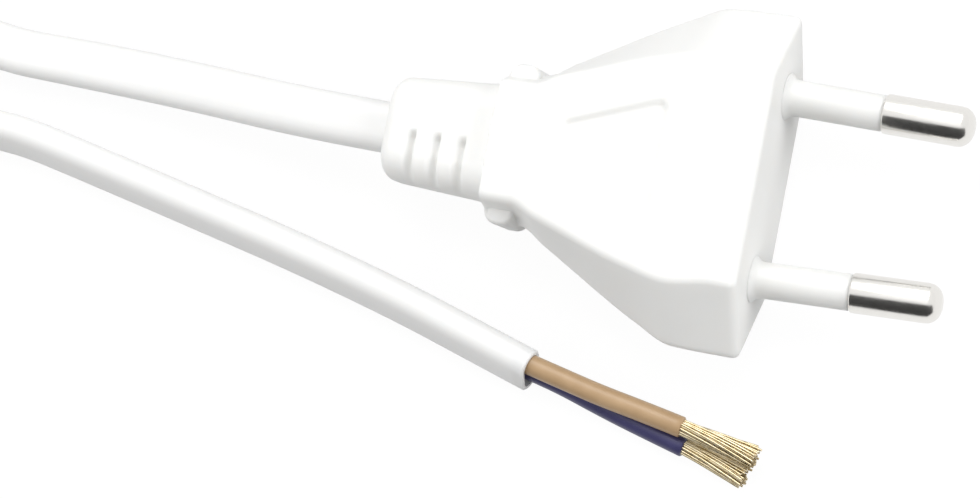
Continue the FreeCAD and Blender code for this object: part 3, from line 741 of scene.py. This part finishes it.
# The skin's stations: shares of the face's outline, and steps round its rim, along the body and the neck.
FACE_SHARES = (0.02, 0.5, 0.9)
RIM_STEPS = 6
AFTER_RIM = 0.3
BEFORE_NECK = 0.3
BODY_STEP = 0.25
NECK_OVERLAP = 0.2
NECK_STEPS = 20
PLAIN_STEPS = 6
UPPER_FLAT_FROM = 4.0
LUGS_UP_TO = 3.6


def moulding_rings():
    """The skin's rings from the middle of the face to the bottom of the cord's mouth."""
    rings = []

    def add(behind, outline):
        rings.append([Vector((FACE_X - behind, y, MIDDLE_Z + z)) for y, z in outline])

    for share in FACE_SHARES:
        add(0.0, [point * share for point in body_outline(0.0, RIM_ROUNDING)])
    for step in range(RIM_STEPS + 1):
        lean = math.radians(90.0 - 90.0 * step / RIM_STEPS)
        add(RIM_ROUNDING * (1 - math.sin(lean)), body_outline(0.0, RIM_ROUNDING * (1 - math.cos(lean))))
    behind = RIM_ROUNDING + AFTER_RIM
    while behind < NECK_START - BEFORE_NECK:
        outline = body_outline(behind)
        for point in outline:
            if point.y > UPPER_FLAT_FROM:
                point.y -= panel_depth(behind, point.x)
        add(behind, outline)
        behind += BODY_STEP
    for step in range(NECK_STEPS + 1):
        behind = NECK_START - NECK_OVERLAP + (BODY_END - NECK_START + NECK_OVERLAP) * step / NECK_STEPS
        drawn_in = DRAW_IN * smooth((behind - BODY_END + DRAW_IN_LENGTH) / DRAW_IN_LENGTH)
        outline = body_outline(behind, drawn_in)
        for point in outline:
            reach = softer_max(abs(point.x), lug_reach(behind, point.y), LUG_BLEND)
            if abs(point.y) < LUGS_UP_TO:
                point.x = math.copysign(reach, point.x)
        add(behind, outline)
    angles = [math.atan2(point.y, point.x) for point in body_outline(BODY_END, DRAW_IN)]

    def relief(behind, grow=0.0, slotted=0.0, size=None, rounding=RELIEF_CORNER):
        wide, high = size or relief_size(behind)
        outline = []
        for angle in angles:
            radius = relief_radius(angle, wide + grow, high + grow, max(LEAST_CORNER, rounding + grow))
            radius -= slotted * slot_depth(angle)
            outline.append(Vector((math.cos(angle), math.sin(angle))) * radius)
        add(behind, outline)

    for after, fuller in JOINT:
        relief(BODY_END + after, grow=fuller)
    slot_start, slot_end = SLOT_SHAPE[0][0], SLOT_SHAPE[-1][0]
    places = {BODY_END + JOINT_END: 0.0}
    for middle in SLOTS:
        for off, slotted in SLOT_SHAPE:
            places[middle + off] = slotted
    plain_starts = [BODY_END + JOINT_END] + [middle + slot_end for middle in SLOTS]
    plain_ends = [middle + slot_start for middle in SLOTS] + [PLUG_END - TIP_ROUNDING]
    for start, end in zip(plain_starts, plain_ends):
        for k in range(1, PLAIN_STEPS):
            places[start + (end - start) * k / PLAIN_STEPS] = 0.0
    for behind in sorted(places):
        relief(behind, slotted=places[behind])
    for step in range(TIP_STEPS + 1):
        lean = math.radians(90.0 * step / TIP_STEPS)
        relief(PLUG_END - TIP_ROUNDING * (1 - math.sin(lean)), grow=-TIP_ROUNDING * (1 - math.cos(lean)))
    for wide, high, depth in MOUTH:
        relief(PLUG_END - depth, size=(wide, high), rounding=high - MOUTH_CORNER_SPARE)
    return rings


moulding = add_piece("outer_moulding_skin", mesh_from_rings("outer_moulding_skin", moulding_rings()), 50.0)
finish_piece(moulding, BODY_PVC, ["outer_moulding"])


# Pins and sleeves.

PIN_ROOT_SPACING = 18.6
PIN_TIP_SPACING = 17.5
PIN_LENGTH = 19.0
LEAN = math.atan((PIN_ROOT_SPACING - PIN_TIP_SPACING) / 2 / PIN_LENGTH)


def turned_piece(name, profile, side, segments=72):
    """Turns a profile of places along the pin and radii about a pin's axis, which leans inwards."""
    turn = Matrix.Rotation(-side * LEAN, 3, "Z")
    start = Vector((FACE_X, side * PIN_ROOT_SPACING / 2, MIDDLE_Z))
    rings = []
    for place, radius in profile:
        ring = []
        for i in range(segments):
            angle = 2 * math.pi * i / segments
            spoke = Vector((place, radius * math.cos(angle), radius * math.sin(angle)))
            ring.append(start + turn @ spoke)
        rings.append(ring)
    return add_piece(name, mesh_from_rings(name, rings), 35.0)


# From inside the moulding, over the flare at the face, to the sleeve's rounded end.
SLEEVE_PROFILE = [
    (-4.2, 1.5), (-4.2, 1.83), (-0.3, 1.84), (-0.3, 2.39), (0.04, 2.4), (0.14, 2.3), (0.42, 2.0),
    (0.75, 1.87), (1.3, 1.84), (9.6, 1.84), (9.8, 1.82), (9.93, 1.76), (10.0, 1.68), (10.0, 1.52),
]
# From inside the sleeve, over the bare metal with the fine groove behind its tip, to the tip.
PIN_PROFILE = [
    (-4.2, 0.2), (-4.2, 1.5), (9.9, 1.5), (9.98, 1.55), (10.0, 1.86), (10.08, 1.96), (10.2, 2.0),
    (17.45, 2.0), (17.58, 1.985), (17.66, 1.95), (17.74, 1.965), (17.86, 1.95), (18.1, 1.86),
    (18.4, 1.66), (18.65, 1.4), (18.82, 1.1), (18.94, 0.72), (18.99, 0.35), (19.0, 0.1),
]
for pole, side in (("line", 1), ("neutral", -1)):
    sleeve = turned_piece(f"{pole}_pin_sleeve_skin", SLEEVE_PROFILE, side)
    finish_piece(sleeve, SLEEVE_PLASTIC, [f"{pole}_pin_sleeve"])
    pin = turned_piece(f"{pole}_pin_skin", PIN_PROFILE, side)
    finish_piece(pin, PIN_METAL, [f"{pole}_pin"])

# The pieces inside the moulding keep their solids and take real finishes.
INNER_MATERIALS = {
    "pin_bridge": BRIDGE_PLASTIC,
    "cord_sheath_end": SHEATH_PVC,
    "brown_inner_core": BROWN_PVC,
    "blue_inner_core": BLUE_PVC,
    "brown_crimped_wire": COPPER,
    "blue_crimped_wire": COPPER,
}
for name, material in INNER_MATERIALS.items():
    paint(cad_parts[name], material)


# The stripped end: two cores and their bare strands.

CORE_RADIUS = 1.1
CORE_IN_SHEATH = 1.25


def round_tube(name, line, radius, segments=28, rim=0.12):
    """A round tube along a line, with a small rim at its cut end."""
    stations = frames_along(line)
    rings = []

    def ring(station, size, shift=0.0):
        point, ahead, side, upper, _ = station
        middle = point + ahead * shift
        turns = [2 * math.pi * i / segments for i in range(segments)]
        return [middle + side * (size * math.cos(a)) + upper * (size * math.sin(a)) for a in turns]

    rings.append(ring(stations[0], radius))
    rings += [ring(station, radius) for station in stations[1:-1]]
    rings += [ring(stations[-1], radius, -rim), ring(stations[-1], radius - rim)]
    return mesh_from_rings(name, rings)


def lead_in(offsets, back):
    """The offsets with one more point before them, inside the sheath."""
    first, second = Vector(offsets[0]), Vector(offsets[1])
    return [tuple(first - (second - first).normalized() * back)] + list(offsets)


core_lines = {}
for colour, offsets, material in (("brown", BROWN_END, BROWN_PVC), ("blue", BLUE_END, BLUE_PVC)):
    line = nurbs_line(f"{colour}_core_line", from_exit(lead_in(offsets, CORE_IN_SHEATH)))
    core_lines[colour] = line
    name = f"{colour}_stripped_core_skin"
    core = add_piece(name, round_tube(name, line, CORE_RADIUS), 50.0)
    finish_piece(core, material, [f"{colour}_stripped_core"])


def new_geometry_tree(name, inputs, output):
    """A new geometry node group with these inputs and one mesh as its output."""
    tree = bpy.data.node_groups.new(name, "GeometryNodeTree")
    for label, kind in inputs:
        tree.interface.new_socket(label, in_out="INPUT", socket_type="NodeSocket" + kind)
    tree.interface.new_socket(output, in_out="OUTPUT", socket_type="NodeSocketGeometry")
    return tree, node(tree, "NodeGroupInput").outputs


def end_geometry_tree(tree, shape, material):
    """Makes the result plain geometry with a material and sends it to the output."""
    plain = node(tree, "GeometryNodeRealizeInstances", {}, {"Geometry": shape}).outputs[0]
    painted = node(tree, "GeometryNodeSetMaterial", {}, {"Geometry": plain, "Material": material})
    node(tree, "NodeGroupOutput", {}, {0: painted.outputs[0]})
    return tree


# Radians from one strand to the next, as in a sunflower, and how late along the line the flare comes.
GOLDEN_ANGLE = 2.39996
FLARE_POWER = 1.6
STRAND_STATIONS = 36
STRAND_SIDES = 8
# The cut ends stand back by up to the whole spread, and forward by up to a third of it.
SHORTEST, LONGEST = -1.0, 0.35


def strand_tree():
    """Strands laid round each other along a line: a sunflower of round wires that flares at its end."""
    inputs = (
        ("Line", "Geometry"), ("Strands", "Int"), ("Strand radius", "Float"), ("Bundle radius", "Float"),
        ("Turns of lay", "Float"), ("Flare", "Float"), ("Length spread", "Float"), ("Seed", "Int"),
        ("Metal", "Material"),
    )
    tree, given = new_geometry_tree("laid_strands", inputs, "Strands mesh")
    centre = node(tree, "GeometryNodeMeshToCurve", {}, {0: given["Line"]})
    even = node(tree, "GeometryNodeResampleCurve", {"Count": STRAND_STATIONS}, {"Curve": centre.outputs[0]})
    copies = node(
        tree, "GeometryNodeDuplicateElements", {"domain": "SPLINE"},
        {"Geometry": even.outputs[0], "Amount": given["Strands"]},
    )
    number = copies.outputs["Duplicate Index"]
    along = node(tree, "GeometryNodeSplineParameter").outputs["Factor"]
    ahead = node(tree, "GeometryNodeInputTangent").outputs[0]
    side = node(tree, "GeometryNodeInputNormal").outputs[0]
    other = vector_of(tree, "CROSS_PRODUCT", ahead, side)
    # A strand's angle and its distance from the line.
    lay = math_of(tree, "MULTIPLY", given["Turns of lay"], 2 * math.pi)
    angle = math_of(tree, "MULTIPLY_ADD", along, lay, math_of(tree, "MULTIPLY", number, GOLDEN_ANGLE))
    share = math_of(tree, "DIVIDE", math_of(tree, "ADD", number, 0.5), given["Strands"])
    late = math_of(tree, "POWER", along, FLARE_POWER)
    opening = math_of(tree, "MULTIPLY_ADD", late, math_of(tree, "SUBTRACT", given["Flare"], 1.0), 1.0)
    width = math_of(tree, "MULTIPLY", math_of(tree, "SQRT", share), given["Bundle radius"])
    radius = math_of(tree, "MULTIPLY", width, opening)
    sideways = math_of(tree, "MULTIPLY", math_of(tree, "COSINE", angle), radius)
    otherways = math_of(tree, "MULTIPLY", math_of(tree, "SINE", angle), radius)
    across = vector_of(
        tree, "ADD", vector_of(tree, "SCALE", side, sideways), vector_of(tree, "SCALE", other, otherways),
    )
    # Its length differs a little from the others'.
    chance = node(
        tree, "FunctionNodeRandomValue", {2: SHORTEST, 3: LONGEST}, {"ID": number, "Seed": given["Seed"]},
    ).outputs[1]
    growing = math_of(tree, "MULTIPLY", math_of(tree, "MULTIPLY", chance, given["Length spread"]), late)
    shift = vector_of(tree, "ADD", across, vector_of(tree, "SCALE", ahead, growing))
    lines = copies.outputs["Geometry"]
    moved = node(tree, "GeometryNodeSetPosition", {}, {"Geometry": lines, "Offset": shift})
    section = node(
        tree, "GeometryNodeCurvePrimitiveCircle", {"Resolution": STRAND_SIDES},
        {"Radius": given["Strand radius"]},
    )
    wires = node(
        tree, "GeometryNodeCurveToMesh", {"Fill Caps": True},
        {"Curve": moved.outputs[0], "Profile Curve": section.outputs[0]},
    )
    return end_geometry_tree(tree, wires.outputs[0], given["Metal"])


def plain_mesh_from(name, tree, start, inputs):
    """Runs a node tree on a start mesh and returns the result as a plain mesh."""
    holder = add_object(name, start)
    modifier = holder.modifiers.new("nodes", "NODES")
    modifier.node_group = tree
    for item in tree.interface.items_tree:
        if item.in_out == "INPUT" and item.name in inputs:
            modifier[item.identifier] = inputs[item.name]
    evaluated = holder.evaluated_get(bpy.context.evaluated_depsgraph_get())
    mesh = bpy.data.meshes.new_from_object(evaluated)
    bpy.data.objects.remove(holder)
    return mesh


def line_mesh(name, points):
    """A mesh of edges only, from point to point."""
    mesh = bpy.data.meshes.new(name)
    edges = [(i, i + 1) for i in range(len(points) - 1)]
    mesh.from_pydata([tuple(point * MM) for point in points], edges, [])
    return mesh


STRANDS = strand_tree()
STRAND_COUNT = 42
STRAND_RADIUS = 0.12
BUNDLE_RADIUS = 0.8
STRAND_FLARE = 1.5
# Where the strands' line starts in the core, where it leaves it, and how far it goes straight on.
STRANDS_IN_CORE = 1.5
STRAIGHT_TO = 0.2
STRAIGHT_SHARE = 0.45
# The brown core's strands stay together; the blue core's spread towards the camera.
for colour, tip, lay, spread, seed in (
    ("brown", (43.7, -26.8, -4.5), 0.2, 0.4, 4),
    ("blue", (42.7, -28.95, -5.4), 0.12, 0.5, 9),
):
    line = core_lines[colour]
    end, before = line[-1], line[-4]
    ahead = (end - before).normalized()
    goal = from_exit([tip])[0]
    bend = end + ahead * ((goal - end).length * STRAIGHT_SHARE)
    route = [end - ahead * STRANDS_IN_CORE, end - ahead * STRAIGHT_TO, bend, goal]
    path = nurbs_line(f"{colour}_strand_line", route)
    sizes = {
        "Strands": STRAND_COUNT, "Strand radius": STRAND_RADIUS * MM, "Bundle radius": BUNDLE_RADIUS * MM,
        "Turns of lay": lay, "Flare": STRAND_FLARE, "Length spread": spread * MM, "Seed": seed,
        "Metal": COPPER,
    }
    start = f"{colour}_strand_start"
    mesh = plain_mesh_from(start, STRANDS, line_mesh(start, path), sizes)
    piece = add_piece(f"{colour}_bare_strands_skin", mesh, 60.0)
    finish_piece(piece, COPPER, [f"{colour}_bare_strands"])


# The tie round the hank.

FAR_END = NEAR_FOLD_X - HANK_LENGTH + HANK_WIDTH / 2
TIE_MIDDLE = FAR_END + HANK_BUNDLE / 2
TIE_TOP = HANK_HEIGHT + 2 * TIE_THICKNESS
TIE_HALF_WIDTH = 1.3
TIE_INNER_ROUNDING = 1.4


def band_outline(low, high, bottom, top, rounding, steps=6):
    """A rounded rectangle round the bundle of turns, as (across, up) pairs."""
    left, right, under, over = low + rounding, high - rounding, bottom + rounding, top - rounding
    outline = []
    for cx, cy, start in ((right, over, 0), (left, over, 90), (left, under, 180), (right, under, 270)):
        for i in range(steps + 1):
            angle = math.radians(start + 90.0 * i / steps)
            outline.append((cx + rounding * math.cos(angle), cy + rounding * math.sin(angle)))
    return outline


def tie_band():
    """The tie's closed band round the bundle, with slightly broken edges."""
    left, right, thick = FAR_END, FAR_END + HANK_BUNDLE, TIE_THICKNESS
    inner = band_outline(left, right, thick, TIE_TOP - thick, TIE_INNER_ROUNDING)
    outer = band_outline(left - thick, right + thick, 0.0, TIE_TOP, TIE_INNER_ROUNDING + thick)
    rings = []
    for (ax, az), (bx, bz) in zip(inner, outer):
        a, b = Vector((ax, 0.0, az)), Vector((bx, 0.0, bz))
        away = (b - a).normalized()
        # Round the band's section: the inner or outer face, a step outwards, the edge, and a step off it.
        section = (
            (a, 0.0, -1, 0.1), (a, 0.0, 1, 0.1), (a, 0.1, 1, 0.0), (b, -0.15, 1, 0.0),
            (b, 0.0, 1, 0.2), (b, 0.0, -1, 0.2), (b, -0.15, -1, 0.0), (a, 0.1, -1, 0.0),
        )
        ring = []
        for face, out, edge, off in section:
            point = face + away * out
            ring.append(Vector((point.x, edge * (TIE_HALF_WIDTH - off), point.z)))
        rings.append(ring)
    return mesh_from_rings("tie_band", rings, closed_loop=True)


def soft_box(name, low, high, rounding):
    """A box with rounded edges between two corners."""
    work = bmesh.new()
    bmesh.ops.create_cube(work, size=1.0)
    size, middle = high - low, (high + low) / 2
    for vertex in work.verts:
        vertex.co = Vector((vertex.co.x * size.x, vertex.co.y * size.y, vertex.co.z * size.z)) + middle
    bmesh.ops.bevel(work, geom=work.edges[:], offset=rounding, segments=3, affect="EDGES", profile=0.5)
    for vertex in work.verts:
        vertex.co = vertex.co * MM
    mesh = bpy.data.meshes.new(name)
    work.to_mesh(mesh)
    work.free()
    return mesh


def tooth_tree():
    """Small teeth in a row across the tie's tail."""
    inputs = (
        ("Start", "Geometry"), ("Teeth", "Int"), ("Pitch", "Float"), ("First", "Vector"),
        ("Size", "Vector"), ("Plastic", "Material"),
    )
    tree, given = new_geometry_tree("tie_teeth", inputs, "Teeth mesh")
    step = node(tree, "ShaderNodeCombineXYZ", {}, {"X": given["Pitch"]})
    row = node(
        tree, "GeometryNodeMeshLine", {"mode": "OFFSET"},
        {"Count": given["Teeth"], "Start Location": given["First"], "Offset": step.outputs[0]},
    )
    tooth = node(tree, "GeometryNodeMeshCube", {}, {"Size": given["Size"]})
    placed = node(
        tree, "GeometryNodeInstanceOnPoints", {}, {"Points": row.outputs[0], "Instance": tooth.outputs[0]},
    )
    return end_geometry_tree(tree, placed.outputs[0], given["Plastic"])


# The tie's details: opposite corners, from the band's top at its middle, and how round their edges are.
TIE_DETAILS = {
    "tie_head": ((-2.0, -2.0, -0.1), (2.0, 2.0, 2.7), 0.35),
    "tie_slot": ((-2.06, -1.25, 0.75), (-1.9, 1.25, 1.95), 0.05),
    "tie_tail": ((1.5, -1.2, 0.9), (6.5, 1.2, 1.7), 0.2),
}
TOOTH_COUNT = 7
TOOTH_PITCH = 0.62
TOOTH_SIZE = (0.3, 1.7, 0.16)
FIRST_TOOTH = (2.4, 0.0, 1.72)


def hank_tie():
    """The band, the locking head with its slot, and the short cut tail with its teeth, in one mesh."""
    top = Vector((TIE_MIDDLE, 0.0, TIE_TOP))
    meshes = [tie_band()]
    for name, (low, high, rounding) in TIE_DETAILS.items():
        meshes.append(soft_box(name, top + Vector(low), top + Vector(high), rounding))
    sizes = {
        "Teeth": TOOTH_COUNT, "Pitch": TOOTH_PITCH * MM, "First": ((top + Vector(FIRST_TOOTH)) * MM)[:],
        "Size": tuple(size * MM for size in TOOTH_SIZE), "Plastic": TIE_NYLON,
    }
    start = bpy.data.meshes.new("tie_teeth_start")
    meshes.append(plain_mesh_from("tie_teeth_start", tooth_tree(), start, sizes))
    return join_meshes("hank_tie_skin", meshes)


tie = add_piece("hank_tie_skin", hank_tie(), 35.0)
finish_piece(tie, TIE_NYLON, ["hank_tie"])

# The cord itself: lead, hank and tail in one, with its stripped end and its tie.
finish_piece(flat_cord, SHEATH_PVC, ["cord_lead", "cord_hank", "cord_tail"])


# Floor, light and background.

FLOOR_HALF = 3.0
FLOOR_BOUNCE = 0.16
FLOOR_SHADE = 0.08
FLOOR_GLOW = 0.935
AMBIENT = 0.5
CARD_CORNERS = [(-0.5, -0.8, 0.03), (1.2, -0.8, 0.03), (1.2, -0.2, 0.66), (-0.5, -0.2, 0.66)]
CARD_BLACK = (0.1, 0.1, 0.1, 1.0)
# The softboxes: place, size, power, and whether bright metal mirrors them.
SOFTBOXES = {
    "far_softbox": ((-0.1, 0.65, 0.8), 0.7, 6.0, True),
    "top_softbox": ((0.05, 0.25, 1.1), 0.8, 0.5, True),
    "right_softbox": ((0.9, 0.15, 0.35), 0.6, 5.5, False),
    "left_softbox": ((-0.75, -0.3, 0.6), 0.6, 2.8, False),
}
LIT_PLACE = Vector((-0.02, 0.0, 0.0))


def seen_directly(tree):
    """1 for rays from the camera and for those that a mirror or glass passes on."""
    rays = node(tree, "ShaderNodeLightPath").outputs
    either = math_of(tree, "MAXIMUM", rays["Is Camera Ray"], rays["Is Glossy Ray"])
    return math_of(tree, "MAXIMUM", either, rays["Is Transmission Ray"])


def stage_panel(name, corners, material):
    """A flat panel of four corners that only serves the picture."""
    mesh = bpy.data.meshes.new(name)
    mesh.from_pydata(corners, [], [(0, 1, 2, 3)])
    mesh.materials.append(material)
    panel = add_object(name, mesh)
    return panel


def white_floor():
    """A large pale floor that shows white where it is lit and keeps the object's soft shadow."""
    material, tree = new_tree("white_studio_sweep")
    seen = seen_directly(tree)
    shade = ranged(tree, seen, FLOOR_BOUNCE, FLOOR_SHADE)
    paper = node(tree, "ShaderNodeBsdfDiffuse", {}, {"Color": shade})
    glow = node(tree, "ShaderNodeEmission", {}, {"Strength": math_of(tree, "MULTIPLY", seen, FLOOR_GLOW)})
    both = node(tree, "ShaderNodeAddShader", {}, {0: paper.outputs[0], 1: glow.outputs[0]})
    node(tree, "ShaderNodeOutputMaterial", {}, {"Surface": both.outputs[0]})
    corners = [(x * FLOOR_HALF, y * FLOOR_HALF, 0.0) for x, y in ((-1, -1), (1, -1), (1, 1), (-1, 1))]
    stage_panel("studio_floor", corners, material)


def white_world():
    """A white world for the eye, which lights the object at a lower, even level."""
    world = bpy.data.worlds.new("white_studio")
    bpy.context.scene.world = world
    world.use_nodes = True
    tree = world.node_tree
    tree.nodes.clear()
    power = ranged(tree, seen_directly(tree), AMBIENT, 1.0)
    sky = node(tree, "ShaderNodeBackground", {"Color": (1.0, 1.0, 1.0, 1.0)}, {"Strength": power})
    node(tree, "ShaderNodeOutputWorld", {}, {"Surface": sky.outputs[0]})


def dark_card():
    """A card on the near side that bright metal mirrors as a dark band. It takes no light off the object."""
    material, tree = new_tree("matte_black_card")
    black = node(tree, "ShaderNodeBsdfDiffuse", {"Color": CARD_BLACK})
    node(tree, "ShaderNodeOutputMaterial", {}, {"Surface": black.outputs[0]})
    card = stage_panel("dark_card", CARD_CORNERS, material)
    card.visible_camera = False
    card.visible_diffuse = False
    card.visible_shadow = False


def softbox(name, place, size, power, mirrored):
    """A square lamp that faces the plug."""
    data = bpy.data.lights.new(name, "AREA")
    data.shape = "SQUARE"
    data.size = size
    data.energy = power
    lamp = add_object(name, data)
    lamp.location = place
    lamp.visible_glossy = mirrored
    lamp.rotation_euler = (LIT_PLACE - Vector(place)).to_track_quat("-Z", "Y").to_euler()


white_world()
white_floor()
dark_card()
for name, settings in SOFTBOXES.items():
    softbox(name, *settings)

bpy.context.scene.view_settings.view_transform = "Standard"
